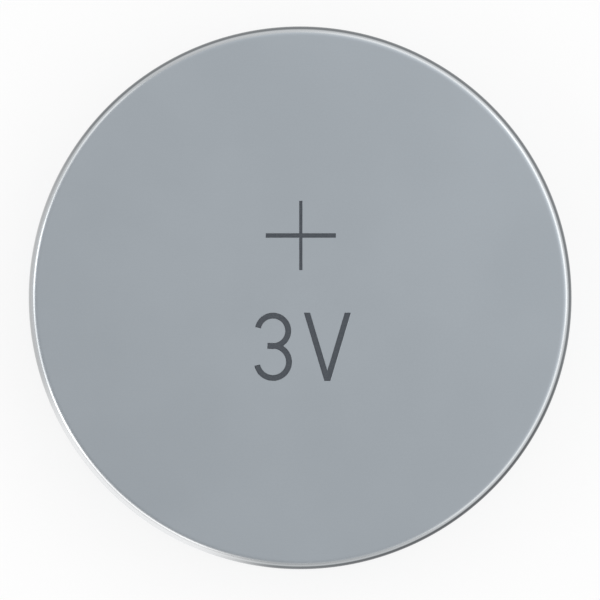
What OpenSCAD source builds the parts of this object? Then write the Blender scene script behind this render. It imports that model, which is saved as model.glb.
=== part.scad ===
// Round lithium coin cell, 20 mm across and 3.2 mm high, as it lies on its negative cap.
// +Z is the cell's axis and points to the positive contact face of the can.
// The origin is the centre of the cap's contact face. All lengths are in millimetres.

/* [Cell] */
// Diameter over the can's side wall
cell_d = 20; // [16:0.1:24.5]
// Height from the cap's contact face to the can's contact face
cell_h = 3.2; // [2.5:0.05:5.4]

/* [Can] */
// Thickness of the can's sheet
can_t = 0.25; // [0.2:0.01:0.3]
// Inside bend radius between the can's contact face and its side wall
can_bend_r = 0.1; // [0.05:0.01:0.3]
// Inside radius of the rim that is rolled in over the gasket
rim_bend_r = 0.55; // [0.45:0.01:0.7]
// Angle that the rim is rolled through: past 90 degrees its edge bites into the gasket
rim_turn = 110; // [90:1:125]

/* [Cap] */
// Thickness of the cap's sheet
cap_t = 0.25; // [0.2:0.01:0.3]
// How far the cap's contact face stands out past the rolled rim
cap_proud = 0.15; // [0.1:0.01:0.3]
// Radial distance from the can's side wall to the cap's drawn step
cap_step_inset = 1.65; // [1.35:0.01:2]
// Inside radius of the cap's bends
cap_bend_r = 0.1; // [0.05:0.01:0.12]

/* [Gasket] */
// Thickness of the gasket between the can's wall and the cap's skirt
gasket_wall_t = 0.35; // [0.25:0.01:0.45]
// Thickness that the rolled rim squeezes the gasket to, over the cap's shoulder
gasket_nip_t = 0.2; // [0.15:0.01:0.3]
// Thickness of the gasket's foot, under the edge of the cap's skirt
gasket_foot_t = 0.3; // [0.2:0.01:0.5]
// Thickness of the gasket's lip inside the cap's skirt
gasket_lip_t = 0.25; // [0.15:0.01:0.35]
// Height of the gasket's inner lip above its foot
gasket_lip_h = 0.9; // [0.5:0.05:1.1]
// Width of the open groove between the cap's step and the gasket
gasket_groove_w = 0.12; // [0.05:0.01:0.2]
// Radius on the edge of the gasket that shows in the groove
gasket_edge_r = 0.12; // [0.05:0.01:0.14]

/* [Lithium anode] */
// Thickness of the lithium disc
lithium_t = 0.6; // [0.3:0.05:0.8]
// Radial gap between the lithium disc and the cap's step
lithium_gap = 0.25; // [0.15:0.01:0.5]

/* [Separator] */
// Thickness of the separator's felt
separator_t = 0.15; // [0.1:0.01:0.2]
// Radial gap between the separator and the cap's step
separator_gap = 0.1; // [0.05:0.01:0.3]
// Inside radius where the separator's rim is turned up round the cathode
separator_bend_r = 0.1; // [0.05:0.01:0.2]
// Gap between the separator's rim and the cathode ring
separator_rim_gap = 0.1; // [0.05:0.01:0.3]

/* [Cathode] */
// Radial gap between the cathode pellet and the separator's rim
pellet_gap = 0.05; // [0.02:0.01:0.1]
// Thickness of the cathode ring's sheet
ring_t = 0.2; // [0.1:0.01:0.3]
// Height of the cathode ring
ring_h = 1; // [0.6:0.05:1.2]
// Width of the cathode ring's flange under the pellet
ring_flange_w = 0.8; // [0.4:0.05:1.5]

/* [Hidden] */

// Facets of a full turn, and of a bend in a section
$fn = 180;
bend_fn = 64;
// Reach of the wedges that cut bends out of rings, past any bend here, and their arc's sides
wedge_reach = 2 * rim_bend_r + 2 * cap_t + 2 * can_t;
wedge_sides = 4;

// Can: its radii, its inside face, and the centres of its two bends
cell_r = cell_d / 2;
can_in_r = cell_r - can_t;
can_in_z = cell_h - can_t;
can_corner_r = can_bend_r + can_t;
can_corner = [cell_r - can_corner_r, cell_h - can_corner_r];
rim_r = rim_bend_r + can_t;
rim_centre = [cell_r - rim_r, cap_proud + rim_r];

// Cap: its step, its shoulder, and the skirt that stands in the gasket
cap_corner_r = cap_bend_r + cap_t;
step_r = cell_r - cap_step_inset;
step_in_r = step_r - cap_t;
shoulder_z = cap_proud + can_t + gasket_nip_t;
skirt_r = can_in_r - gasket_wall_t;
skirt_in_r = skirt_r - cap_t;
skirt_end_z = can_in_z - gasket_foot_t;

// Gasket: the face that shows beside the rim, its open edge, and its inner lip
gasket_face_z = cap_proud + can_t;
gasket_edge_in_r = step_r + cap_bend_r + gasket_groove_w;
gasket_lip_in_r = skirt_in_r - gasket_lip_t;

// Stack between the cap and the can, and the radii of its pieces
lithium_r = step_in_r - lithium_gap;
separator_z = cap_t + lithium_t;
separator_r = step_in_r - separator_gap;
separator_in_r = separator_r - separator_t;
pellet_z = separator_z + separator_t;
pellet_r = separator_in_r - pellet_gap;
pellet_edge_r = separator_bend_r + pellet_gap;
ring_r = pellet_r + ring_t;
ring_z = can_in_z - ring_h;
ring_flange_in_r = pellet_r - ring_flange_w;

// Rectangle of a section, from one corner to the opposite one
module block(low, high) {
    translate(low) square(high - low);
}

// Wedge of a section about the origin, from angle a to angle b
module wedge(a, b) {
    polygon([
        [0, 0],
        for (i = [0 : wedge_sides])
            let (angle = a + (b - a) * i / wedge_sides)
            wedge_reach * [cos(angle), sin(angle)]
    ]);
}

// Bend of a sheet about a centre: its inside radius, its thickness, and the angles that it spans
module bend(centre, inside_r, sheet_t, a, b) {
    translate(centre)
    intersection() {
        difference() {
            circle(inside_r + sheet_t, $fn = bend_fn);
            circle(inside_r, $fn = bend_fn);
        }
        wedge(a, b);
    }
}

// Quarter disc about a centre, in the quarter turn that starts at angle a
module quarter(centre, radius, a) {
    translate(centre)
    intersection() {
        circle(radius, $fn = bend_fn);
        wedge(a, a + 90);
    }
}

// Section of the can: contact face, corner bend, side wall and rolled rim, all of one sheet
module can_section() {
    block([0, can_in_z], [can_corner.x, cell_h]);
    bend(can_corner, can_bend_r, can_t, 0, 90);
    block([can_in_r, rim_centre.y], [cell_r, can_corner.y]);
    bend(rim_centre, rim_bend_r, can_t, -rim_turn, 0);
}

// Section of the cap: contact face, step, shoulder and skirt, all of one sheet
module cap_section() {
    block([0, 0], [step_r - cap_corner_r, cap_t]);
    bend([step_r - cap_corner_r, cap_corner_r], cap_bend_r, cap_t, -90, 0);
    block([step_in_r, cap_corner_r], [step_r, shoulder_z - cap_bend_r]);
    bend([step_r + cap_bend_r, shoulder_z - cap_bend_r], cap_bend_r, cap_t, 90, 180);
    block([step_r + cap_bend_r, shoulder_z], [skirt_r - cap_corner_r, shoulder_z + cap_t]);
    bend([skirt_r - cap_corner_r, shoulder_z + cap_corner_r], cap_bend_r, cap_t, -90, 0);
    block([skirt_in_r, shoulder_z + cap_corner_r], [skirt_r, skirt_end_z]);
}

// All that the cap's shoulder and skirt enclose, which the gasket is pressed against
module cap_outline() {
    block([0, shoulder_z], [skirt_r - cap_corner_r, skirt_end_z]);
    block([0, shoulder_z + cap_corner_r], [skirt_r, skirt_end_z]);
    quarter([skirt_r - cap_corner_r, shoulder_z + cap_corner_r], cap_corner_r, -90);
}

// Room inside the can for the gasket: from the wall to its open edge, and up to the contact face
module gasket_room() {
    block([gasket_edge_in_r, gasket_face_z + gasket_edge_r], [rim_centre.x, rim_centre.y]);
    block([gasket_edge_in_r + gasket_edge_r, gasket_face_z], [rim_centre.x, rim_centre.y]);
    quarter([gasket_edge_in_r + gasket_edge_r, gasket_face_z + gasket_edge_r], gasket_edge_r, 180);
    quarter(rim_centre, rim_bend_r, -90);
    block([gasket_edge_in_r, rim_centre.y], [can_in_r, can_corner.y]);
    block([gasket_edge_in_r, can_corner.y], [can_corner.x, can_in_z]);
    quarter(can_corner, can_bend_r, 0);
}

// Section of the gasket: squeezed over the shoulder, round the skirt and under its edge
module gasket_section() {
    difference() {
        gasket_room();
        can_section();
        cap_outline();
        block([0, shoulder_z], [gasket_lip_in_r, can_in_z]);
    }
    block([gasket_lip_in_r, skirt_end_z - gasket_lip_h], [skirt_in_r, skirt_end_z]);
}

// Section of the separator: a disc with its rim turned up round the cathode
module separator_section() {
    bend_z = separator_z + separator_t + separator_bend_r;
    bend_x = separator_in_r - separator_bend_r;
    block([0, separator_z], [bend_x, separator_z + separator_t]);
    bend([bend_x, bend_z], separator_bend_r, separator_t, -90, 0);
    block([separator_in_r, bend_z], [separator_r, ring_z - separator_rim_gap]);
}

// Section of the cathode ring: a wall round the pellet and a flange under it
module ring_section() {
    block([pellet_r, ring_z], [ring_r, can_in_z]);
    block([ring_flange_in_r, can_in_z - ring_t], [pellet_r, can_in_z]);
}

// Section of the cathode pellet: its edge is rounded, and its foot is stepped for the ring
module pellet_section() {
    block([0, pellet_z], [pellet_r - pellet_edge_r, can_in_z - ring_t]);
    quarter([pellet_r - pellet_edge_r, pellet_z + pellet_edge_r], pellet_edge_r, -90);
    block([pellet_r - pellet_edge_r, pellet_z + pellet_edge_r], [pellet_r, can_in_z - ring_t]);
    block([0, can_in_z - ring_t], [ring_flange_in_r, can_in_z]);
}

// Positive case of nickel-plated steel, drawn from one sheet and rolled in at the rim
module can() {
    color([0.63, 0.66, 0.68]) rotate_extrude() can_section();
}

// Polypropylene ring that seals and insulates the can from the cap
module gasket() {
    color([0.86, 0.87, 0.84]) rotate_extrude() gasket_section();
}

// Negative cover of stainless steel, drawn from one sheet
module cap() {
    color([0.66, 0.68, 0.69]) rotate_extrude() cap_section();
}

// Anode, pressed on the inside of the cap
module lithium_disc() {
    color([0.76, 0.77, 0.79]) translate([0, 0, cap_t]) cylinder(h = lithium_t, r = lithium_r);
}

// Felt cup that holds the electrolyte between the anode and the cathode
module separator() {
    color([0.93, 0.93, 0.9]) rotate_extrude() separator_section();
}

// Pressed pellet of manganese dioxide and carbon
module cathode_pellet() {
    color([0.12, 0.12, 0.13]) rotate_extrude() pellet_section();
}

// Steel ring that holds the pellet round and carries its current to the can
module cathode_ring() {
    color([0.6, 0.61, 0.62]) rotate_extrude() ring_section();
}

can();
gasket();
cap();
lithium_disc();
separator();
cathode_pellet();
cathode_ring();
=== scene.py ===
"""Visual model of a round lithium coin cell, 20 mm across and 3.2 mm high, lying on its cap.

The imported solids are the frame. The can, the cap and the gasket are made again here, as pressed
sheet and as a moulding, with their bends, cut edges and marks. The pieces sealed inside keep their
solids and get their finishes. Sizes are in millimetres, and MM turns them into metres.
"""

import logging
import math
from abc import ABC, abstractmethod
from dataclasses import dataclass
from enum import Enum
from typing import Callable, ClassVar, Protocol, Self

import bmesh
import bpy
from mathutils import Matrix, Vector


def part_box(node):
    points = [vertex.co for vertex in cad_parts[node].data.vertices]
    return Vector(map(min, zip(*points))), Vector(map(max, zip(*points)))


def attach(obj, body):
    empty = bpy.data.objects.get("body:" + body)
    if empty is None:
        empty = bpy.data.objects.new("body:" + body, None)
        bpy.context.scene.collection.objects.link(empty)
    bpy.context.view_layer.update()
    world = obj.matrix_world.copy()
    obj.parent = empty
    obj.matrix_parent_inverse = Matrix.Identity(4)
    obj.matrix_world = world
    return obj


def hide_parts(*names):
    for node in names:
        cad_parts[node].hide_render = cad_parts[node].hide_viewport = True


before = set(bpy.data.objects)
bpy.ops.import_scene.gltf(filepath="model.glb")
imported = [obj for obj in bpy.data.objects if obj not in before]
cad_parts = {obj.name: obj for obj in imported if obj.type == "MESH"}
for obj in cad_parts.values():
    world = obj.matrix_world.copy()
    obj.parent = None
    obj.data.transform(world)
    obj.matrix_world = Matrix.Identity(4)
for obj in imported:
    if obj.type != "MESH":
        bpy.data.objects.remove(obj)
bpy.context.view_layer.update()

LOG = logging.getLogger("coin_cell")
MM = 0.001

# Doubles are merged below this distance, in metres
MERGE_M = 1e-7
# Steps of a full turn, and how far a straight step may lie inside its arc
TURN_STEPS = 256
SAG = 0.0004
# Angle in degrees past which an edge of a sheet counts as cut and not as bent
CUT_ANGLE = 60.0
# Range that most of a noise texture's values lie in
USUAL = (0.3, 0.7)
# Factors that bring a place down to the level of the origin
LEVEL = (1.0, 1.0, 0.0)

# A place in a plane, the two ends of a range, and a vector or a colour
Point = tuple[float, float]
Span = tuple[float, float]
Triple = tuple[float, float, float]
Socket = bpy.types.NodeSocket
Value = float | Socket
Piece = bpy.types.Object
Material = bpy.types.Material


class Axis(Enum):
    """Axes along which a solid's box is read."""

    X = 0
    Z = 2


class Side(Enum):
    """The two ends of a solid's box along an axis."""

    LOW = 0
    HIGH = 1


class Mode(Enum):
    """The two modes of work on a mesh."""

    OBJECT = "OBJECT"
    EDIT = "EDIT"


class Part(Enum):
    """Parts of a mesh that can be picked out."""

    VERTEX = "VERT"
    EDGE = "EDGE"
    FACE = "FACE"


class Join(Enum):
    """Ways in which one solid acts on another."""

    UNITE = "UNION"
    CUT = "DIFFERENCE"


class Maths(Enum):
    """Arithmetic on two values of a finish."""

    ADD = "ADD"
    SUBTRACT = "SUBTRACT"
    MULTIPLY = "MULTIPLY"
    MAXIMUM = "MAXIMUM"


class VectorMaths(Enum):
    """Arithmetic on a vector, and the name that the node gives its result."""

    STRETCH = ("MULTIPLY", "Vector")
    UNIT = ("NORMALIZE", "Vector")
    LENGTH = ("LENGTH", "Value")
    ALONG = ("DOT_PRODUCT", "Value")


class Lay(Enum):
    """How the features of a pattern lie on the cell."""

    STRAIGHT = "along the cell's own axes"
    RINGS = "in rings about the cell's axis"


class Ends(Enum):
    """How the ends of a band are cut."""

    SQUARE = "square to the band"
    LEVEL = "along the first axis"


def reach(node: str, axis: Axis, side: Side = Side.HIGH) -> float:
    """Read from the frame how far a solid reaches.

    Args:
        node: Name of the solid.
        axis: Axis along which its box is read.
        side: End of the box.

    Returns:
        The reach in millimetres, to a tenth of a micrometre.
    """
    return round(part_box(node)[side.value][axis.value] / MM, 4)


@dataclass(frozen=True)
class Cell:
    """Sizes that the cell's pieces share: the frame's own, and the bends and steps within them."""

    radius: float = reach("can", Axis.X)
    height: float = reach("can", Axis.Z)
    wall_in_r: float = reach("gasket", Axis.X)
    bead_face_z: float = reach("gasket", Axis.Z, Side.LOW)
    skirt_r: float = reach("cap", Axis.X)
    skirt_end_z: float = reach("cap", Axis.Z)
    cap_t: float = reach("lithium_disc", Axis.Z, Side.LOW)
    can_bend_r: float = 0.1
    rim_bend_r: float = 0.55
    rim_turn: float = 110.0
    step_inset: float = 1.65
    cap_bend_r: float = 0.1
    nip_t: float = 0.2

    @property
    def can_t(self) -> float:
        """Thickness of the can's sheet."""
        return self.radius - self.wall_in_r

    @property
    def can_corner(self) -> Point:
        """Centre of the bend between the can's face and its wall."""
        outer_r = self.can_bend_r + self.can_t
        return self.radius - outer_r, self.height - outer_r

    @property
    def rim_centre(self) -> Point:
        """Centre of the rim's bend, whose lowest point is a sheet below the gasket's bead."""
        outer_r = self.rim_bend_r + self.can_t
        return self.radius - outer_r, self.bead_face_z - self.can_t + outer_r

    @property
    def step_r(self) -> float:
        """Radius of the cap's drawn step."""
        return self.radius - self.step_inset

    @property
    def shoulder_z(self) -> float:
        """Height of the cap's shoulder, which the gasket is squeezed over."""
        return self.bead_face_z + self.nip_t

    @property
    def cap_corner_r(self) -> float:
        """Outside radius of the cap's bends."""
        return self.cap_bend_r + self.cap_t

    @property
    def skirt_bend(self) -> Point:
        """Centre of the bend between the cap's shoulder and its skirt."""
        return self.skirt_r - self.cap_corner_r, self.shoulder_z + self.cap_corner_r


class Line:
    """Line drawn point by point in one plane.

    In the half section of a turned piece, a point is a radius and a height.
    """

    def __init__(self, *points: Point) -> None:
        """Start a line, with its first points if there are any."""
        self.points = list(points)

    def to(self, across: float, up: float) -> Self:
        """Go straight to a point."""
        self.points.append((across, up))
        return self

    def bend(self, centre: Point, radius: float, start: float, end: float) -> Self:
        """Go round an arc, in as many straight steps as its radius needs.

        Args:
            centre: The arc's centre.
            radius: The arc's radius.
            start: Angle of the arc's first point, in degrees anticlockwise from the first axis.
            end: Angle of its last point.

        Returns:
            The line itself, so that calls can be chained.
        """
        widest = math.degrees(2 * math.acos(1 - SAG / radius))
        steps = math.ceil(abs(end - start) / widest)
        for step in range(steps + 1):
            angle = math.radians(start + (end - start) * step / steps)
            self.to(centre[0] + radius * math.cos(angle), centre[1] + radius * math.sin(angle))
        return self

    def beside(self, distance: float, ends: Ends) -> list[Point]:
        """Run along the line at a distance.

        Args:
            distance: Distance to the left of the line's way, or to the right where it is below 0.
            ends: How the two ends are cut.

        Returns:
            A point beside each of the line's own.
        """
        spots = [Vector(point) for point in self.points]
        ways = [(after - before).normalized() for before, after in zip(spots, spots[1:])]
        lefts = [Vector((-way.y, way.x)) for way in ways]
        pairs = zip([lefts[0], *lefts], [*lefts, lefts[-1]])
        shifts = [(first + second) / (1 + first.dot(second)) for first, second in pairs]
        if ends is Ends.LEVEL:
            for end in (0, -1):
                shifts[end] = Vector((1 / shifts[end].x, 0))
        return [tuple(spot + shift * distance) for spot, shift in zip(spots, shifts)]

    def band(self, near: float, far: float, ends: Ends = Ends.SQUARE) -> Self:
        """Outline the band between two distances from the line.

        Args:
            near: Distance of the side that is drawn first.
            far: Distance of the side that is drawn back.
            ends: How the two ends are cut.

        Returns:
            The outline, open between its last point and its first.
        """
        return Line(*self.beside(near, ends), *reversed(self.beside(far, ends)))


class Bench:
    """Hand tools of the workshop: each call does one step of the work on the open piece."""

    @staticmethod
    def mode(mode: Mode) -> None:
        """Change between object mode and edit mode."""
        bpy.ops.object.mode_set(mode=mode.value)

    @staticmethod
    def take(*pieces: Piece) -> None:
        """Select the given pieces and nothing else.

        Args:
            *pieces: The pieces, of which the last is opened. With none, nothing stays selected.
        """
        bpy.ops.object.select_all(action="DESELECT")
        for piece in pieces:
            piece.select_set(True)
            bpy.context.view_layer.objects.active = piece

    @staticmethod
    def pick(piece: Piece, part: Part, wanted: Callable[..., bool]) -> None:
        """Select the faces or edges that a test picks out, and nothing else.

        Args:
            piece: The piece that is open in edit mode.
            part: Whether faces or edges are tested.
            wanted: The test, which is given one face or edge at a time.
        """
        bpy.ops.mesh.select_mode(type=part.value)
        bpy.ops.mesh.select_all(action="DESELECT")
        mesh = bmesh.from_edit_mesh(piece.data)
        for element in mesh.faces if part is Part.FACE else mesh.edges:
            if wanted(element):
                element.select_set(True)
        bmesh.update_edit_mesh(piece.data)

    @staticmethod
    def chain(name: str, places: list[Vector]) -> Piece:
        """Draw a chain of edges, one extruded corner after another.

        Args:
            name: Name of the new piece.
            places: The chain's corners in millimetres.

        Returns:
            The piece, open in edit mode with its chain selected.
        """
        Bench.take()
        bpy.ops.mesh.primitive_plane_add(size=MM, enter_editmode=True, location=(0, 0, 0))
        piece = bpy.context.object
        piece.name = piece.data.name = name
        bpy.ops.mesh.select_mode(type=Part.VERTEX.value)
        bpy.ops.mesh.select_all(action="SELECT")
        bpy.ops.mesh.merge(type="CENTER")
        bpy.ops.transform.translate(value=places[0] * MM)
        for last, place in zip(places, places[1:]):
            bpy.ops.mesh.extrude_region_move(TRANSFORM_OT_translate={"value": (place - last) * MM})
        bpy.ops.mesh.select_all(action="SELECT")
        return piece

    @staticmethod
    def prism(name: str, outline: Line, low: float, high: float) -> Piece:
        """Fill an outline and draw it up into a solid.

        Args:
            name: Name of the new piece.
            outline: The outline, open between its last point and its first.
            low: Height of the solid's underside.
            high: Height of its top.

        Returns:
            The solid, in object mode.
        """
        piece = Bench.chain(name, [Vector((x, y, low)) for x, y in outline.points])
        bpy.ops.mesh.edge_face_add()
        bpy.ops.mesh.extrude_region_move(
            TRANSFORM_OT_translate={"value": (0, 0, (high - low) * MM)}
        )
        bpy.ops.mesh.select_all(action="SELECT")
        bpy.ops.mesh.normals_make_consistent(inside=False)
        Bench.mode(Mode.OBJECT)
        return piece

    @staticmethod
    def turned(name: str, section: Line) -> Piece:
        """Draw a half section and spin it about the cell's axis.

        Args:
            name: Name of the new piece.
            section: The half section, from its first point to its last.

        Returns:
            The piece, open in edit mode, its doubles merged and its faces pointing outwards.
        """
        places = [Vector((radius, 0, height)) for radius, height in section.points]
        piece = Bench.chain(name, places)
        bpy.ops.mesh.spin(steps=TURN_STEPS, angle=math.tau, center=(0, 0, 0), axis=(0, 0, 1))
        bpy.ops.mesh.select_all(action="SELECT")
        bpy.ops.mesh.remove_doubles(threshold=MERGE_M)
        bpy.ops.mesh.normals_make_consistent(inside=False)
        return piece

    @staticmethod
    def join_flat(piece: Piece, height: float) -> None:
        """Join the triangles round the axis, on one plane, into a single flat face.

        Args:
            piece: The turned piece, open in edit mode.
            height: Height of the plane.
        """
        def in_flat(face: bmesh.types.BMFace) -> bool:
            """Tell whether a face lies in the plane and meets the axis."""
            level = all(abs(corner.co.z - height * MM) < MERGE_M for corner in face.verts)
            return level and any(corner.co.xy.length < MERGE_M for corner in face.verts)

        Bench.pick(piece, Part.FACE, in_flat)
        bpy.ops.mesh.dissolve_faces()

    @staticmethod
    def bevel(piece: Piece, wanted: Callable[..., bool], width: float, steps: int) -> None:
        """Break the edges that a test picks out, in the piece's first material.

        Args:
            piece: The piece, open in edit mode.
            wanted: The test.
            width: Width that is taken off beside the edge.
            steps: Straight steps from one side of the edge to the other.
        """
        Bench.pick(piece, Part.EDGE, wanted)
        bpy.ops.mesh.bevel(offset=width * MM, segments=steps, affect="EDGES", material=0)

    @staticmethod
    def combine(piece: Piece, other: Piece, way: Join) -> None:
        """Unite a piece with another solid, or cut it with one, and throw the other away.

        Args:
            piece: The piece that stays, in object mode.
            other: The solid that is joined to it or taken away from it.
            way: Whether the other solid is added or taken away.
        """
        Bench.take(piece)
        join = piece.modifiers.new("Join", "BOOLEAN")
        join.operation = way.value
        join.solver = "MANIFOLD"
        join.object = other
        bpy.ops.object.modifier_apply(modifier=join.name)
        bpy.data.objects.remove(other)

    @staticmethod
    def finish(piece: Piece, smooth_below: float) -> None:
        """End the work on a piece and shade its bends smooth.

        Args:
            piece: The piece, open in either mode.
            smooth_below: Angle in degrees up to which neighbouring faces shade as one surface.
        """
        Bench.mode(Mode.OBJECT)
        Bench.take(piece)
        bpy.ops.object.shade_smooth_by_angle(angle=math.radians(smooth_below))


@dataclass(frozen=True)
class Pattern:
    """Noise of a finish: its features in a millimetre, its finer layers, and its stretch."""

    per_mm: float
    layers: float = 3.0
    stretch: Triple = (1.0, 1.0, 1.0)
    warp: float = 0.0
    lay: Lay = Lay.STRAIGHT


@dataclass(frozen=True)
class Patch:
    """Tone over a sector of the cell: its middle, and the angles off it between which it fades."""

    tone: Triple
    azimuth: float
    within: Span


class Graph:
    """Node tree, with a short call for each kind of node that the finishes and the sky use."""

    def __init__(self, tree: bpy.types.NodeTree) -> None:
        """Take over a node tree and empty it.

        Args:
            tree: The tree of a material or of the world.
        """
        self.tree = tree
        self.tree.nodes.clear()

    def add(self, kind: str) -> bpy.types.Node:
        """Add a node of a kind."""
        return self.tree.nodes.new(kind)

    def put(self, socket: Socket, value: Value | Triple) -> None:
        """Set a socket to a number, a vector or a colour, or link it to another node.

        Args:
            socket: The input to set.
            value: A number, three numbers, or another node's output.
        """
        if isinstance(value, bpy.types.NodeSocket):
            self.tree.links.new(value, socket)
        elif isinstance(value, tuple) and socket.type == "RGBA":
            socket.default_value = (*value, 1)
        else:
            socket.default_value = value

    def math(self, first: Value, way: Maths, second: Value) -> Socket:
        """Do arithmetic on two values.

        Args:
            first: The first value.
            way: What is done.
            second: The second value.

        Returns:
            The result.
        """
        node = self.add("ShaderNodeMath")
        node.operation = way.value
        self.put(node.inputs[0], first)
        self.put(node.inputs[1], second)
        return node.outputs["Value"]

    def vector(self, start: Socket, way: VectorMaths, other: Triple | None = None) -> Socket:
        """Do arithmetic on a vector.

        Args:
            start: The vector.
            way: What is done.
            other: The vector that it is stretched by or measured along, if there is one.

        Returns:
            The result.
        """
        node = self.add("ShaderNodeVectorMath")
        node.operation, result = way.value
        self.put(node.inputs[0], start)
        if other is not None:
            self.put(node.inputs[1], other)
        return node.outputs[result]

    def parts(self, vector: Socket) -> list[Socket]:
        """Take a vector apart.

        Args:
            vector: The vector.

        Returns:
            Its three parts.
        """
        node = self.add("ShaderNodeSeparateXYZ")
        self.put(node.inputs["Vector"], vector)
        return list(node.outputs)

    def ramp(
        self, value: Value, low: float, high: float, start: Value = 0.0, end: Value = 1.0
    ) -> Socket:
        """Turn a range of values smoothly into another range.

        Args:
            value: The value to turn.
            low: Value at which the result is at its start.
            high: Value at which it is at its end.
            start: The result at and below low.
            end: The result at and above high.

        Returns:
            The result.
        """
        node = self.add("ShaderNodeMapRange")
        node.interpolation_type = "SMOOTHSTEP"
        for socket, number in zip(node.inputs, (value, low, high, start, end)):
            self.put(socket, number)
        return node.outputs["Result"]


class Surface(Graph):
    """Material in the making: its shader, and the places that its patterns are read at."""

    def __init__(self, name: str) -> None:
        """Start a material whose shader reads nothing yet.

        Args:
            name: Name of the material.
        """
        self.material = bpy.data.materials.new(name)
        self.material.use_nodes = True
        super().__init__(self.material.node_tree)
        self.shader = self.add("ShaderNodeBsdfPrincipled")
        output = self.add("ShaderNodeOutputMaterial")
        self.put(output.inputs["Surface"], self.shader.outputs["BSDF"])
        metres = self.add("ShaderNodeTexCoord").outputs["Object"]
        self.place = self.vector(metres, VectorMaths.STRETCH, (1 / MM, 1 / MM, 1 / MM))
        self.height = self.parts(self.place)[Axis.Z.value]
        self.level = self.vector(self.place, VectorMaths.STRETCH, LEVEL)
        self.radius = self.vector(self.level, VectorMaths.LENGTH)
        ring = self.add("ShaderNodeCombineXYZ")
        self.put(ring.inputs["X"], self.radius)
        self.put(ring.inputs["Z"], self.height)
        self.ring = ring.outputs["Vector"]

    def noise(self, pattern: Pattern) -> Socket:
        """Add a noise texture.

        Args:
            pattern: Its scale and its lay.

        Returns:
            Its value, about 0.5 on average.
        """
        node = self.add("ShaderNodeTexNoise")
        spot = self.ring if pattern.lay is Lay.RINGS else self.place
        spot = self.vector(spot, VectorMaths.STRETCH, pattern.stretch)
        self.put(node.inputs["Vector"], spot)
        node.inputs["Scale"].default_value = pattern.per_mm
        node.inputs["Detail"].default_value = pattern.layers
        node.inputs["Distortion"].default_value = pattern.warp
        return node.outputs["Fac"]

    def cells(self, per_mm: float) -> Socket:
        """Add a cell texture.

        Args:
            per_mm: Number of cells in a millimetre.

        Returns:
            Distance to the nearest cell's point.
        """
        node = self.add("ShaderNodeTexVoronoi")
        self.put(node.inputs["Vector"], self.place)
        node.inputs["Scale"].default_value = per_mm
        return node.outputs["Distance"]

    def spread(self, noise: Socket, low: float = 0.0, high: float = 1.0) -> Socket:
        """Spread a noise texture's usual values over a range."""
        return self.ramp(noise, *USUAL, low, high)

    def zone(self, rises: Span, falls: Span) -> Socket:
        """Mark a band of heights.

        Args:
            rises: Heights between which the mark goes from 0 to 1.
            falls: Heights between which it goes back to 0.

        Returns:
            The mark's strength.
        """
        fall = self.ramp(self.height, *falls, 1.0, 0.0)
        return self.math(self.ramp(self.height, *rises), Maths.MULTIPLY, fall)

    def sector(self, patch: Patch) -> Socket:
        """Mark the sector of the cell that a patch covers.

        Args:
            patch: The patch.

        Returns:
            The mark's strength, from 0 to 1.
        """
        azimuth = math.radians(patch.azimuth)
        middle = (math.cos(azimuth), math.sin(azimuth), 0)
        outwards = self.vector(self.level, VectorMaths.UNIT)
        facing = self.vector(outwards, VectorMaths.ALONG, middle)
        return self.ramp(facing, *(math.cos(math.radians(angle)) for angle in patch.within))

    def mix(self, share: Value, first: Triple | Socket, second: Triple | Socket) -> Socket:
        """Mix two colours.

        Args:
            share: Share of the second colour.
            first: The first colour.
            second: The second colour.

        Returns:
            The mixed colour.
        """
        node = self.add("ShaderNodeMix")
        node.data_type = "RGBA"
        self.put(node.inputs["Factor"], share)
        colours = [socket for socket in node.inputs if socket.type == "RGBA"]
        for socket, colour in zip(colours, (first, second)):
            self.put(socket, colour)
        return next(socket for socket in node.outputs if socket.type == "RGBA")

    def relief(self, height: Value, depth: float, under: Socket | None = None) -> Socket:
        """Add a bump.

        Args:
            height: Height of the relief, from 0 to 1.
            depth: Depth in millimetres that a height of 1 stands for.
            under: Normal of the relief that this one lies on, if there is one.

        Returns:
            The normal.
        """
        node = self.add("ShaderNodeBump")
        node.inputs["Distance"].default_value = depth * MM
        self.put(node.inputs["Height"], height)
        if under is not None:
            self.put(node.inputs["Normal"], under)
        return node.outputs["Normal"]

    def done(self, **values: Value | Triple) -> Material:
        """Set the shader's own sockets.

        Args:
            **values: Values by the socket's name in lower case, with _ for a space.

        Returns:
            The finished material.
        """
        sockets = self.shader.inputs
        by_name = {socket.name.lower().replace(" ", "_"): socket for socket in sockets}
        for name, value in values.items():
            self.put(by_name[name], value)
        return self.material


class Finish(Protocol):
    """Any finish: something that makes one material."""

    def material(self) -> Material:
        """Make the material."""


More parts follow.
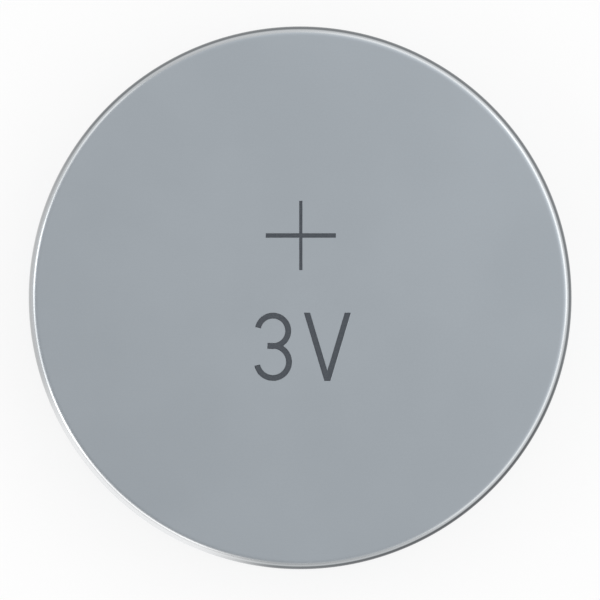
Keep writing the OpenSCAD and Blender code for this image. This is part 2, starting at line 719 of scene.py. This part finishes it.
@dataclass(frozen=True)
class NickelPlate:
    """Satin nickel plating on drawn sheet, with a painted dark reflection along the outside of the
    face's bend, painted lighter on one side and darker on the other, and a painted highlight on
    one sector of the bend.
    """

    light: Triple = (0.487, 0.534, 0.578)
    dull: Triple = (0.456, 0.501, 0.543)
    side: Triple = (0.500, 0.528, 0.552)
    side_dull: Triple = (0.440, 0.466, 0.488)
    bright: Triple = (0.535, 0.556, 0.572)
    # Painted dark reflection: a dark colour along the outside of the face's bend that stands in
    # for dark surroundings reflected there, not a tone of the plating
    burnished: Triple = (0.185, 0.197, 0.207)
    # Painted light: the dark band is painted lighter on the side that the strongest lamp lights
    worn: Patch = Patch((0.480, 0.490, 0.500), 190.0, (55.0, 10.0))
    # Painted shade: the dark band is painted darkest on the side away from the strongest lamp,
    # where the floor's shadow falls
    dark: Patch = Patch((0.105, 0.112, 0.120), 310.0, (45.0, 5.0))
    # Painted highlight: one sector of the bend is painted nearly white, for a strong light from
    # that side
    rubbed: Patch = Patch((0.840, 0.850, 0.860), 230.0, (36.0, 14.0))
    clouds: Pattern = Pattern(0.22)
    grain: Pattern = Pattern(11.0, layers=4.0)
    sheet: Pattern = Pattern(20.0, layers=4.0, stretch=(0.04, 1.0, 1.0))
    drawn: Pattern = Pattern(16.0, stretch=(1.0, 1.0, 0.03))
    rolled: Pattern = Pattern(9.0, lay=Lay.RINGS)
    cloud_tone: Span = (0.2, 0.8)
    grain_tone: Span = (-0.12, 0.12)
    face_roughness: Span = (0.31, 0.37)
    bend_roughness: float = 0.2
    rim_z: Span = (0.7, 1.0)
    side_z: Span = (2.8, 2.95)
    # Heights over which the painted dark reflection rises and falls
    dark_from_z: Span = (2.6, 2.92)
    dark_to_z: Span = (3.095, 3.145)
    bend_from_z: Span = (2.7, 2.85)
    bend_to_z: Span = (3.17, 3.198)
    grain_depth: float = 0.0006
    sheet_depth: float = 0.0012
    drawn_depth: float = 0.0016
    rolled_depth: float = 0.003

    def material(self) -> Material:
        """Make the material.

        Returns:
            The material, whose zones follow the height on the can.
        """
        graph = Surface("Nickel_plate")
        grain, drawn = graph.noise(self.grain), graph.noise(self.drawn)
        rolled, sheet = graph.noise(self.rolled), graph.noise(self.sheet)
        on_rim = graph.ramp(graph.height, *self.rim_z, 1.0, 0.0)
        on_side = graph.ramp(graph.height, *self.side_z, 1.0, 0.0)
        on_face = graph.ramp(graph.height, *self.bend_to_z)
        on_bend = graph.zone(self.bend_from_z, self.bend_to_z)
        # Band of the painted dark reflection
        on_painted_dark = graph.zone(self.dark_from_z, self.dark_to_z)
        clouds = graph.spread(graph.noise(self.clouds), *self.cloud_tone)
        tone = graph.math(clouds, Maths.ADD, graph.spread(grain, *self.grain_tone))
        lines = graph.ramp(on_rim, 0.0, 1.0, graph.spread(drawn), graph.spread(rolled))
        colour = graph.mix(tone, self.light, self.dull)
        colour = graph.mix(on_side, colour, graph.mix(lines, self.side, self.side_dull))
        colour = graph.mix(on_bend, colour, self.bright)
        # Painted light: lighter where the strongest lamp falls
        edge = graph.mix(graph.sector(self.worn), self.burnished, self.worn.tone)
        # Painted shade: darkest on the side away from the strongest lamp
        edge = graph.mix(graph.sector(self.dark), edge, self.dark.tone)
        # Lay the painted dark reflection, with its painted lighter and darker sides, over the bend
        colour = graph.mix(on_painted_dark, colour, edge)
        # Painted highlight over one sector of the bend
        on_painted_highlight = graph.math(on_bend, Maths.MULTIPLY, graph.sector(self.rubbed))
        colour = graph.mix(on_painted_highlight, colour, self.rubbed.tone)
        rough = graph.spread(grain, *self.face_roughness)
        rough = graph.ramp(on_bend, 0.0, 1.0, rough, self.bend_roughness)
        normal = graph.relief(grain, self.grain_depth)
        reliefs = (
            (on_face, sheet, self.sheet_depth),
            (on_side, drawn, self.drawn_depth),
            (on_rim, rolled, self.rolled_depth),
        )
        for where, noise, depth in reliefs:
            normal = graph.relief(graph.math(where, Maths.MULTIPLY, noise), depth, normal)
        return graph.done(base_color=colour, metallic=1.0, roughness=rough, normal=normal)


@dataclass(frozen=True)
class MarkedFloor:
    """Dark matt floor of the marks that are cut into the contact face."""

    dark: Triple = (0.046, 0.056, 0.070)
    light: Triple = (0.066, 0.076, 0.090)
    speckle: Pattern = Pattern(18.0)
    roughness: float = 0.62
    depth: float = 0.004

    def material(self) -> Material:
        """Make the material.

        Returns:
            The material.
        """
        graph = Surface("Mark_floor")
        speckle = graph.noise(self.speckle)
        colour = graph.mix(graph.spread(speckle), self.dark, self.light)
        normal = graph.relief(speckle, self.depth)
        return graph.done(base_color=colour, roughness=self.roughness, normal=normal)


@dataclass(frozen=True)
class StainlessSheet:
    """Satin stainless sheet with the straight grain of the rolling mill and a pressed step."""

    light: Triple = (0.560, 0.585, 0.605)
    dull: Triple = (0.500, 0.522, 0.540)
    step: Triple = (0.420, 0.440, 0.455)
    clouds: Pattern = Pattern(0.3)
    grain: Pattern = Pattern(14.0, layers=4.0, stretch=(0.03, 1.0, 1.0))
    pits: Pattern = Pattern(14.0, layers=2.0)
    rings: Pattern = Pattern(16.0, lay=Lay.RINGS)
    cloud_tone: Span = (0.2, 0.7)
    grain_tone: Span = (-0.6, 0.6)
    roughness: Span = (0.26, 0.36)
    flat_z: Span = (0.02, 0.10)
    step_from_z: Span = (0.08, 0.16)
    step_to_z: Span = (0.44, 0.52)
    grain_depth: float = 0.0018
    pit_depth: float = 0.0006
    ring_depth: float = 0.0018

    def material(self) -> Material:
        """Make the material.

        Returns:
            The material, whose grain is straight on the flat and round on the step.
        """
        graph = Surface("Stainless_sheet")
        grain, pits, rings = (graph.noise(one) for one in (self.grain, self.pits, self.rings))
        on_flat = graph.ramp(graph.height, *self.flat_z, 1.0, 0.0)
        worked = graph.ramp(graph.height, *self.flat_z)
        clouds = graph.spread(graph.noise(self.clouds), *self.cloud_tone)
        tone = graph.math(clouds, Maths.ADD, graph.spread(grain, *self.grain_tone))
        colour = graph.mix(tone, self.light, self.dull)
        colour = graph.mix(graph.zone(self.step_from_z, self.step_to_z), colour, self.step)
        rough = graph.spread(pits, *self.roughness)
        normal = graph.relief(pits, self.pit_depth)
        normal = graph.relief(graph.math(on_flat, Maths.MULTIPLY, grain), self.grain_depth, normal)
        normal = graph.relief(graph.math(worked, Maths.MULTIPLY, rings), self.ring_depth, normal)
        return graph.done(base_color=colour, metallic=1.0, roughness=rough, normal=normal)


@dataclass(frozen=True)
class MilkyPolypropylene:
    """Milky moulded polypropylene, a little see-through, waxy where the rim squeezes it."""

    milk: Triple = (0.705, 0.715, 0.680)
    shade: Triple = (0.600, 0.608, 0.565)
    clouds: Pattern = Pattern(0.9)
    flow: Pattern = Pattern(7.0, lay=Lay.RINGS)
    skin: Pattern = Pattern(12.0)
    cloud_tone: Span = (0.0, 0.6)
    squeezed_r: Span = (8.86, 9.0)
    squeezed_tone: float = 0.7
    roughness: Span = (0.37, 0.50)
    index: float = 1.49
    scatter: float = 0.3
    scatter_depth: float = 0.25
    flow_depth: float = 0.0035
    skin_depth: float = 0.0012

    def material(self) -> Material:
        """Make the material.

        Returns:
            The material, which is duller beside the rim's edge.
        """
        graph = Surface("Milky_polypropylene")
        flow, skin = graph.noise(self.flow), graph.noise(self.skin)
        clouds = graph.spread(graph.noise(self.clouds), *self.cloud_tone)
        colour = graph.mix(clouds, self.milk, self.shade)
        squeezed = graph.ramp(graph.radius, *self.squeezed_r, 0.0, self.squeezed_tone)
        colour = graph.mix(squeezed, colour, self.shade)
        rough = graph.spread(skin, *self.roughness)
        normal = graph.relief(flow, self.flow_depth, graph.relief(skin, self.skin_depth))
        return graph.done(
            base_color=colour, roughness=rough, normal=normal, ior=self.index,
            subsurface_weight=self.scatter, subsurface_scale=self.scatter_depth * MM,
        )


@dataclass(frozen=True)
class PressedLithium:
    """Soft silvery metal with the print of its press tool and a thin dull skin."""

    bright: Triple = (0.600, 0.610, 0.635)
    dull: Triple = (0.360, 0.365, 0.390)
    patches: Pattern = Pattern(0.5, layers=5.0, warp=0.6)
    tool_print: Pattern = Pattern(5.0, layers=4.0)
    skin: Span = (0.42, 0.68)
    roughness: Span = (0.38, 0.62)
    depth: float = 0.008

    def material(self) -> Material:
        """Make the material.

        Returns:
            The material, patchy where the skin has formed.
        """
        graph = Surface("Pressed_lithium")
        skin = graph.ramp(graph.noise(self.patches), *self.skin)
        colour = graph.mix(skin, self.bright, self.dull)
        rough = graph.ramp(skin, 0.0, 1.0, *self.roughness)
        normal = graph.relief(graph.noise(self.tool_print), self.depth)
        return graph.done(base_color=colour, metallic=1.0, roughness=rough, normal=normal)


@dataclass(frozen=True)
class GlassFelt:
    """White felt of short fibres, wet with electrolyte."""

    fibre: Triple = (0.830, 0.835, 0.800)
    gap: Triple = (0.640, 0.645, 0.610)
    along: Pattern = Pattern(14.0, stretch=(0.15, 1.0, 1.0), warp=1.2)
    across: Pattern = Pattern(14.0, stretch=(1.0, 0.15, 1.0), warp=1.2)
    wet: Pattern = Pattern(0.35, layers=2.0)
    fibre_from: Span = (0.45, 0.68)
    roughness: Span = (0.6, 0.95)
    sheen: float = 0.2
    depth: float = 0.02

    def material(self) -> Material:
        """Make the material.

        Returns:
            The material, of fibres that cross each other.
        """
        graph = Surface("Glass_felt")
        mat = graph.math(graph.noise(self.along), Maths.MAXIMUM, graph.noise(self.across))
        colour = graph.mix(graph.ramp(mat, *self.fibre_from), self.gap, self.fibre)
        rough = graph.spread(graph.noise(self.wet), *self.roughness)
        normal = graph.relief(mat, self.depth)
        return graph.done(
            base_color=colour, roughness=rough, normal=normal, sheen_weight=self.sheen,
        )


@dataclass(frozen=True)
class PressedPowder:
    """Black pressed powder with grains of graphite."""

    graphite: Triple = (0.055, 0.056, 0.060)
    black: Triple = (0.012, 0.012, 0.013)
    grains_per_mm: float = 9.0
    dust: Pattern = Pattern(3.0, layers=5.0)
    black_from: Span = (0.1, 0.45)
    grain_range: Span = (0.1, 0.6)
    roughness: Span = (0.62, 0.92)
    depth: float = 0.02

    def material(self) -> Material:
        """Make the material.

        Returns:
            The material, with a glint on its larger grains.
        """
        graph = Surface("Pressed_powder")
        grains, dust = graph.cells(self.grains_per_mm), graph.noise(self.dust)
        share = graph.ramp(graph.math(grains, Maths.MULTIPLY, dust), *self.black_from)
        colour = graph.mix(share, self.graphite, self.black)
        rough = graph.ramp(grains, *self.grain_range, *self.roughness)
        normal = graph.relief(graph.math(grains, Maths.ADD, dust), self.depth)
        return graph.done(base_color=colour, roughness=rough, normal=normal)


@dataclass(frozen=True)
class RolledSteel:
    """Plain steel ring, as rolled, with fine lines round it."""

    light: Triple = (0.500, 0.505, 0.515)
    dull: Triple = (0.400, 0.402, 0.408)
    rings: Pattern = Pattern(12.0, layers=4.0, lay=Lay.RINGS)
    clouds: Pattern = Pattern(0.6)
    ring_tone: Span = (-0.4, 0.4)
    roughness: Span = (0.28, 0.42)
    depth: float = 0.003

    def material(self) -> Material:
        """Make the material.

        Returns:
            The material.
        """
        graph = Surface("Rolled_steel")
        rings, clouds = graph.noise(self.rings), graph.noise(self.clouds)
        tone = graph.math(graph.spread(clouds), Maths.ADD, graph.spread(rings, *self.ring_tone))
        colour = graph.mix(tone, self.light, self.dull)
        rough = graph.spread(clouds, *self.roughness)
        normal = graph.relief(rings, self.depth)
        return graph.done(base_color=colour, metallic=1.0, roughness=rough, normal=normal)


@dataclass(frozen=True)
class PaperFloor:
    """White paper, which looks white far from the cell and takes its shadow close by."""

    albedo: float = 0.95
    near_glow: float = 0.8
    contact_r: Span = (9.3, 10.4)
    shadow_r: Span = (20.0, 60.0)

    def material(self) -> Material:
        """Make the material.

        Returns:
            The material, whose glow only the camera, gloss and glass see.
        """
        graph = Surface("Floor")
        rays = graph.add("ShaderNodeLightPath").outputs
        seen = graph.math(rays["Is Camera Ray"], Maths.MAXIMUM, rays["Is Glossy Ray"])
        seen = graph.math(seen, Maths.MAXIMUM, rays["Is Transmission Ray"])
        seen = graph.math(seen, Maths.MULTIPLY, graph.ramp(graph.radius, *self.contact_r))
        glow = graph.ramp(graph.radius, *self.shadow_r, self.near_glow, 1.0)
        glow = graph.math(seen, Maths.MULTIPLY, glow)
        paper = graph.math(graph.math(1.0, Maths.SUBTRACT, glow), Maths.MULTIPLY, self.albedo)
        return graph.done(base_color=paper, specular_ior_level=0.0, emission_strength=glow)


@dataclass(frozen=True)
class Mark(ABC):
    """Mark that is cut into the positive contact face, stroke by stroke."""

    @abstractmethod
    def strokes(self) -> list[Line]:
        """Draw the strokes' outlines."""

    @staticmethod
    def stroke(path: Line, width: float, ends: Ends = Ends.SQUARE) -> Line:
        """Outline a stroke of a width about its path."""
        return path.band(width / 2, -width / 2, ends)

    def cutter(self, low: float, high: float) -> Piece:
        """Make the solid that cuts the mark.

        Args:
            low: Height of its underside, which is the floor of the mark.
            high: Height of its top, clear of the face.

        Returns:
            The cutter, all its strokes in one piece.
        """
        cutter, *others = [
            Bench.prism(f"stroke_{number}", stroke, low, high)
            for number, stroke in enumerate(self.strokes())
        ]
        for other in others:
            Bench.combine(cutter, other, Join.UNITE)
        return cutter


@dataclass(frozen=True)
class PlusMark(Mark):
    """Plus sign over the middle of the face."""

    centre: Point = (0.024, 2.29)
    level_span: float = 2.57
    level_w: float = 0.155
    upright_span: float = 2.54
    upright_w: float = 0.108

    def strokes(self) -> list[Line]:
        """Draw the level stroke and the upright one.

        Returns:
            The outlines of the two strokes.
        """
        x, y = self.centre
        across, up = self.level_span / 2, self.upright_span / 2
        level = Line((x - across, y), (x + across, y))
        upright = Line((x, y - up), (x, y + up))
        return [self.stroke(level, self.level_w), self.stroke(upright, self.upright_w)]


@dataclass(frozen=True)
class RatingMark(Mark):
    """Voltage, 3V, under the middle of the face, in plain letters of one line width."""

    centre: Point = (0.0, -1.8)
    letter_h: float = 2.5
    pitch: float = 2.0
    line_w: float = 0.21
    upper_r: float = 0.56
    lower_r: float = 0.59
    bowl_turn: float = 168.0
    bar: float = 0.2
    vee_w: float = 1.5

    def digit(self, x: float) -> list[Line]:
        """Draw the digit as two bowls that meet at the waist.

        Args:
            x: Place of the middle of its bowls across the face.

        Returns:
            The outlines of the two bowls.
        """
        edge = (self.letter_h - self.line_w) / 2
        top = (x, self.centre[1] + edge - self.upper_r)
        foot = (x, self.centre[1] - edge + self.lower_r)
        waist = foot[1] + self.lower_r
        upper = Line().bend(top, self.upper_r, self.bowl_turn, -90).to(x - self.bar, waist)
        lower = Line((x - self.bar, waist)).bend(foot, self.lower_r, 90, -self.bowl_turn)
        return [self.stroke(bowl, self.line_w) for bowl in (upper, lower)]

    def letter(self, x: float) -> list[Line]:
        """Draw the letter as two legs that meet at the foot.

        Args:
            x: Place of its foot across the face.

        Returns:
            The outlines of the two legs.
        """
        up = self.letter_h / 2
        foot = (x, self.centre[1] - up)
        heads = [(x + side * self.vee_w / 2, self.centre[1] + up) for side in (-1, 1)]
        return [self.stroke(Line(head, foot), self.line_w, Ends.LEVEL) for head in heads]

    def strokes(self) -> list[Line]:
        """Draw the digit, and the letter beside it."""
        middle, half = self.centre[0], self.pitch / 2
        return self.digit(middle - half) + self.letter(middle + half)


@dataclass(frozen=True)
class Shell(ABC):
    """Base of the pieces that are made again in place of their solids."""

    NAME: ClassVar[str]
    NODE: ClassVar[str]
    SLOT: ClassVar[str]
    SMOOTH_BELOW: ClassVar[float] = 25.0

    cell: Cell

    @abstractmethod
    def section(self) -> Line:
        """Draw the half section that is turned about the cell's axis."""

    @abstractmethod
    def shape(self) -> Piece:
        """Make the piece, in its finish."""

    def build(self) -> Piece:
        """Make the piece and put it on the cell in place of its solid.

        Returns:
            The finished piece.
        """
        piece = self.shape()
        Bench.finish(piece, self.SMOOTH_BELOW)
        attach(piece, "root")
        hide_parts(self.NODE)
        return piece


@dataclass(frozen=True)
class Pressing(Shell):
    """Base of the pieces that are pressed from sheet, whose section is drawn on its outside."""

    flat_margin: float = 0.05
    cut_edge: float = 0.035
    cut_steps: int = 3

    def press(self, face_z: float, inwards: float) -> Piece:
        """Turn the sheet's section and round the cut edge that ends it.

        Args:
            face_z: Height of the contact face.
            inwards: Way from the face through the sheet, below 0 where it leads down.

        Returns:
            The pressing, open in edit mode.
        """
        def is_cut(edge: bmesh.types.BMEdge) -> bool:
            """Tell whether an edge of the sheet is cut and not bent."""
            return edge.calc_face_angle(0) > math.radians(CUT_ANGLE)

        piece = Bench.turned(self.NAME, self.section().band(0, inwards))
        for height in (face_z, face_z + inwards):
            Bench.join_flat(piece, height)
        Bench.bevel(piece, is_cut, self.cut_edge, self.cut_steps)
        return piece


@dataclass(frozen=True)
class Can(Pressing):
    """Positive case: sheet drawn to a cup, its open edge rolled in over the gasket."""

    NAME: ClassVar[str] = "can_shell"
    NODE: ClassVar[str] = "can"
    SLOT: ClassVar[str] = "can_steel"

    witness_rise: float = 0.08
    witness_w: float = 0.04
    witness_depth: float = 0.008
    mark_depth: float = 0.025
    mark_edge: float = 0.012
    mark_edge_steps: int = 1
    marks: tuple[Mark, ...] = (PlusMark(), RatingMark())
    plate: NickelPlate = NickelPlate()
    mark_floor: MarkedFloor = MarkedFloor()

    def section(self) -> Line:
        """Draw the outside of the cup, from the axis over the face and the wall to the rim's edge.

        Returns:
            The section, with the fine witness line of the rolling die just above the rim's bend.
        """
        cell = self.cell
        corner, rim = cell.can_corner, cell.rim_centre
        line = Line((0, cell.height), (corner[0] - self.flat_margin, cell.height))
        line.bend(corner, cell.can_bend_r + cell.can_t, 90, 0)
        line.to(cell.radius, (corner[1] + rim[1]) / 2)
        witness_z = rim[1] + self.witness_rise
        line.to(cell.radius, witness_z + self.witness_w)
        line.to(cell.radius - self.witness_depth, witness_z)
        line.to(cell.radius, witness_z - self.witness_w)
        return line.bend(rim, cell.rim_bend_r + cell.can_t, 0, -cell.rim_turn)

    def shape(self) -> Piece:
        """Press the cup and cut its marks.

        Returns:
            The can.
        """
        cell = self.cell
        piece = self.press(cell.height, -cell.can_t)
        Bench.mode(Mode.OBJECT)
        floor_z = cell.height - self.mark_depth
        for mark in self.marks:
            Bench.combine(piece, mark.cutter(floor_z, cell.height + cell.can_t), Join.CUT)
        # The cuts leave an empty slot behind
        piece.data.materials.clear()
        for material in (self.plate.material(), self.mark_floor.material()):
            piece.data.materials.append(material)
        Bench.mode(Mode.EDIT)
        self.dress_marks(piece, floor_z)
        self.break_mark_edges(piece)
        return piece

    def dress_marks(self, piece: Piece, floor_z: float) -> None:
        """Give the floors and the walls of the marks the last of the can's materials.

        Args:
            piece: The marked can, open in edit mode.
            floor_z: Height of the floors.
        """
        def in_mark(face: bmesh.types.BMFace) -> bool:
            """Tell whether a face inside the flat reaches down to the floor of a mark."""
            deep = any(abs(corner.co.z - floor_z * MM) < MERGE_M for corner in face.verts)
            return deep and face.verts[0].co.xy.length < self.cell.can_corner[0] * MM

        Bench.pick(piece, Part.FACE, in_mark)
        piece.active_material_index = len(piece.data.materials) - 1
        bpy.ops.object.material_slot_assign()

    def break_mark_edges(self, piece: Piece) -> None:
        """Break the edge between the contact face and each mark, in bare plating.

        Args:
            piece: The marked can, open in edit mode.
        """
        top = self.cell.height * MM

        def at_mark(edge: bmesh.types.BMEdge) -> bool:
            """Tell whether an edge of the contact face has a mark on its other side."""
            level = all(abs(corner.co.z - top) < MERGE_M for corner in edge.verts)
            return level and len({face.material_index for face in edge.link_faces}) > 1

        Bench.bevel(piece, at_mark, self.mark_edge, self.mark_edge_steps)


@dataclass(frozen=True)
class Cap(Pressing):
    """Negative cover: sheet pressed to a flat, a step, a shoulder and a skirt."""

    NAME: ClassVar[str] = "cap_shell"
    NODE: ClassVar[str] = "cap"
    SLOT: ClassVar[str] = "cap_steel"

    sheet: StainlessSheet = StainlessSheet()

    def section(self) -> Line:
        """Draw the outside of the cover, from the axis over the flat and the step to the skirt.

        Returns:
            The section.
        """
        cell = self.cell
        outer_r, inner_r = cell.cap_corner_r, cell.cap_bend_r
        line = Line((0, 0), (cell.step_r - outer_r - self.flat_margin, 0))
        line.bend((cell.step_r - outer_r, outer_r), outer_r, -90, 0)
        line.bend((cell.step_r + inner_r, cell.shoulder_z - inner_r), inner_r, 180, 90)
        line.bend(cell.skirt_bend, outer_r, -90, 0)
        return line.to(cell.skirt_r, cell.skirt_end_z)

    def shape(self) -> Piece:
        """Press the cover.

        Returns:
            The cap.
        """
        piece = self.press(0, self.cell.cap_t)
        piece.data.materials.append(self.sheet.material())
        return piece


@dataclass(frozen=True)
class Gasket(Shell):
    """Sealing ring of polypropylene: a J in section, with a bead that shows beside the rim."""

    NAME: ClassVar[str] = "gasket_ring"
    NODE: ClassVar[str] = "gasket"
    SLOT: ClassVar[str] = "gasket_plastic"
    SMOOTH_BELOW: ClassVar[float] = 35.0

    groove_w: float = 0.12
    bead_edge_r: float = 0.12
    bead_swell: float = 0.03
    bead_steps: int = 8
    lip_t: float = 0.25
    lip_h: float = 0.9
    lip_edge_r: float = 0.06
    plastic: MilkyPolypropylene = MilkyPolypropylene()

    def bead(self, line: Line, start_r: float) -> Line:
        """Draw the face that the rim squeezes out, a little swollen, up to the rim's cut edge.

        Args:
            line: The section so far, which ends at the bead's inner edge.
            start_r: Radius that it ends at.

        Returns:
            The section, which now ends at the rim's cut edge.
        """
        cell = self.cell
        past_level = math.radians(cell.rim_turn - 90)
        rim_r, rim_z = cell.rim_centre
        end_r = rim_r - (rim_z - cell.bead_face_z) * math.tan(past_level)
        for step in range(1, self.bead_steps):
            share = step / self.bead_steps
            swell = self.bead_swell * math.sin(math.pi * share)
            line.to(start_r + (end_r - start_r) * share, cell.bead_face_z - swell)
        return line.to(end_r, cell.bead_face_z)

    def lip(self, line: Line) -> Line:
        """Draw the lip inside the cap's skirt, with its two rounded edges.

        Args:
            line: The section so far, which ends at the foot of the can's wall.

        Returns:
            The section, which now ends where the skirt's inside meets its edge.
        """
        cell = self.cell
        skirt_in_r = cell.skirt_r - cell.cap_t
        lip_in_r, lip_end_z = skirt_in_r - self.lip_t, cell.skirt_end_z - self.lip_h
        edge_z = lip_end_z + self.lip_edge_r
        line.to(lip_in_r, cell.height - cell.can_t)
        line.bend((lip_in_r + self.lip_edge_r, edge_z), self.lip_edge_r, 180, 270)
        line.bend((skirt_in_r - self.lip_edge_r, edge_z), self.lip_edge_r, 270, 360)
        return line.to(skirt_in_r, cell.skirt_end_z)

    def section(self) -> Line:
        """Draw the whole outline: bead, rim, wall, foot, lip, skirt and shoulder.

        Returns:
            The section, closed on its first point.
        """
        cell, edge_r = self.cell, self.bead_edge_r
        bead_in_r = cell.step_r + cell.cap_bend_r + self.groove_w
        line = Line().bend((bead_in_r + edge_r, cell.bead_face_z + edge_r), edge_r, 180, 270)
        self.bead(line, bead_in_r + edge_r)
        line.bend(cell.rim_centre, cell.rim_bend_r, -cell.rim_turn, 0)
        line.bend(cell.can_corner, cell.can_bend_r, 0, 90)
        self.lip(line).to(cell.skirt_r, cell.skirt_end_z)
        line.bend(cell.skirt_bend, cell.cap_corner_r, 0, -90)
        return line.to(bead_in_r, cell.shoulder_z).to(*line.points[0])

    def shape(self) -> Piece:
        """Mould the ring.

        Returns:
            The gasket.
        """
        piece = Bench.turned(self.NAME, self.section())
        piece.data.materials.append(self.plastic.material())
        return piece


@dataclass(frozen=True)
class Stack:
    """Pieces sealed inside, which keep their solids and get their finishes."""

    lithium_disc: Finish = PressedLithium()
    separator: Finish = GlassFelt()
    cathode_pellet: Finish = PressedPowder()
    cathode_ring: Finish = RolledSteel()

    def dress(self) -> list[Piece]:
        """Give each solid its finish.

        Returns:
            The dressed solids.
        """
        dressed = []
        for name, finish in vars(self).items():
            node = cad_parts[name]
            material = finish.material()
            for slot in node.material_slots:
                slot.material = material
            dressed.append(node)
        return dressed


@dataclass(frozen=True)
class Softbox:
    """One flat lamp at a distance from the cell, turned towards it."""

    azimuth: float
    elevation: float
    radiance: float
    width: float = 360.0
    height: float = 160.0
    distance: float = 500.0

    def build(self, name: str) -> None:
        """Hang the lamp.

        Args:
            name: Name of the lamp.
        """
        turn, rise = math.radians(self.azimuth), math.radians(self.elevation)
        level = math.cos(rise)
        towards = Vector((math.cos(turn) * level, math.sin(turn) * level, math.sin(rise)))
        bpy.ops.object.light_add(type="AREA", location=towards * self.distance * MM)
        lamp = bpy.context.object
        lamp.name = name
        lamp.rotation_euler = towards.to_track_quat("Z", "Y").to_euler()
        lamp.data.shape = "RECTANGLE"
        lamp.data.size, lamp.data.size_y = self.width * MM, self.height * MM
        lamp.data.energy = self.radiance * math.pi * lamp.data.size * lamp.data.size_y
        lamp.visible_camera = False


@dataclass(frozen=True)
class Sky:
    """Soft light from all round: white at the horizon, softer overhead, brighter to one side."""

    top: float = 0.70
    slope: Point = (0.75, 0.55)
    edge: float = 1.0
    rise: Span = (0.15, 0.9)

    def build(self) -> None:
        """Set the world's light."""
        world = bpy.data.worlds.new("Sky")
        bpy.context.scene.world = world
        world.use_nodes = True
        graph = Graph(world.node_tree)
        x, y, z = graph.parts(graph.add("ShaderNodeTexCoord").outputs["Generated"])
        lean = graph.math(
            graph.math(x, Maths.MULTIPLY, self.slope[0]), Maths.ADD,
            graph.math(y, Maths.MULTIPLY, self.slope[1]),
        )
        overhead = graph.math(graph.math(lean, Maths.ADD, 1.0), Maths.MULTIPLY, self.top)
        background = graph.add("ShaderNodeBackground")
        graph.put(background.inputs["Color"], graph.ramp(z, *self.rise, self.edge, overhead))
        output = graph.add("ShaderNodeOutputWorld")
        graph.put(output.inputs["Surface"], background.outputs["Background"])


@dataclass(frozen=True)
class PhotoCamera:
    """Camera straight above the face, so far away that the disc has its size in the photograph."""

    image_px: float = 600.0
    disc_centre_px: Point = (300.16, 297.83)
    disc_r_px: float = 271.4
    lens: float = 180.0
    sensor: float = 36.0
    near: float = 10.0
    far: float = 2000.0

    def build(self, cell: Cell) -> None:
        """Hang the camera.

        Args:
            cell: The cell, which is widest where its face's bend meets its wall.
        """
        px_per_mm = self.disc_r_px / cell.radius
        above = self.lens / self.sensor * self.image_px / px_per_mm
        across = (self.image_px / 2 - self.disc_centre_px[0]) / px_per_mm
        up = (self.disc_centre_px[1] - self.image_px / 2) / px_per_mm
        place = Vector((across, up, cell.can_corner[1] + above)) * MM
        bpy.ops.object.camera_add(location=place, rotation=(0, 0, 0))
        camera = bpy.context.object
        camera.name = "camera"
        camera.data.lens = self.lens
        camera.data.sensor_width = self.sensor
        camera.data.clip_start, camera.data.clip_end = self.near * MM, self.far * MM
        bpy.context.scene.camera = camera


@dataclass(frozen=True)
class Studio:
    """Pale floor, soft light from all round, strip lamps at the sides, and the camera above."""

    floor_size: float = 1600.0
    floor: PaperFloor = PaperFloor()
    sky: Sky = Sky()
    camera: PhotoCamera = PhotoCamera()
    lamps: tuple[Softbox, ...] = (
        Softbox(18, 40, 0.84),
        Softbox(-35, 40, 0.65),
        Softbox(60, 40, 0.40),
        Softbox(188, 40, 1.28),
        Softbox(154, 40, 0.82),
        Softbox(226, 40, 0.80),
        Softbox(272, 46, 0.22, height=120.0),
    )

    def build(self, cell: Cell) -> None:
        """Set up the floor, the light and the camera.

        Args:
            cell: The cell that the camera looks at.
        """
        Bench.take()
        bpy.ops.mesh.primitive_plane_add(size=self.floor_size * MM, location=(0, 0, 0))
        floor = bpy.context.object
        floor.name = "floor"
        floor.data.materials.append(self.floor.material())
        self.sky.build()
        for number, lamp in enumerate(self.lamps):
            lamp.build(f"lamp_{number}")
        self.camera.build(cell)
        bpy.context.scene.view_settings.view_transform = "Standard"


def main() -> None:
    """Build the studio, the three outer pieces and the stack inside, in that order."""
    logging.basicConfig(level=logging.INFO, format="%(name)s: %(message)s")
    cell = Cell()
    Studio().build(cell)
    LOG.info("studio is set up")
    for shell in (Can(cell), Cap(cell), Gasket(cell)):
        piece = shell.build()
        LOG.info("%s has %d faces", piece.name, len(piece.data.polygons))
    for node in Stack().dress():
        LOG.info("%s is finished with %s", node.name, node.material_slots[0].name)


if __name__ == "__main__":
    main()
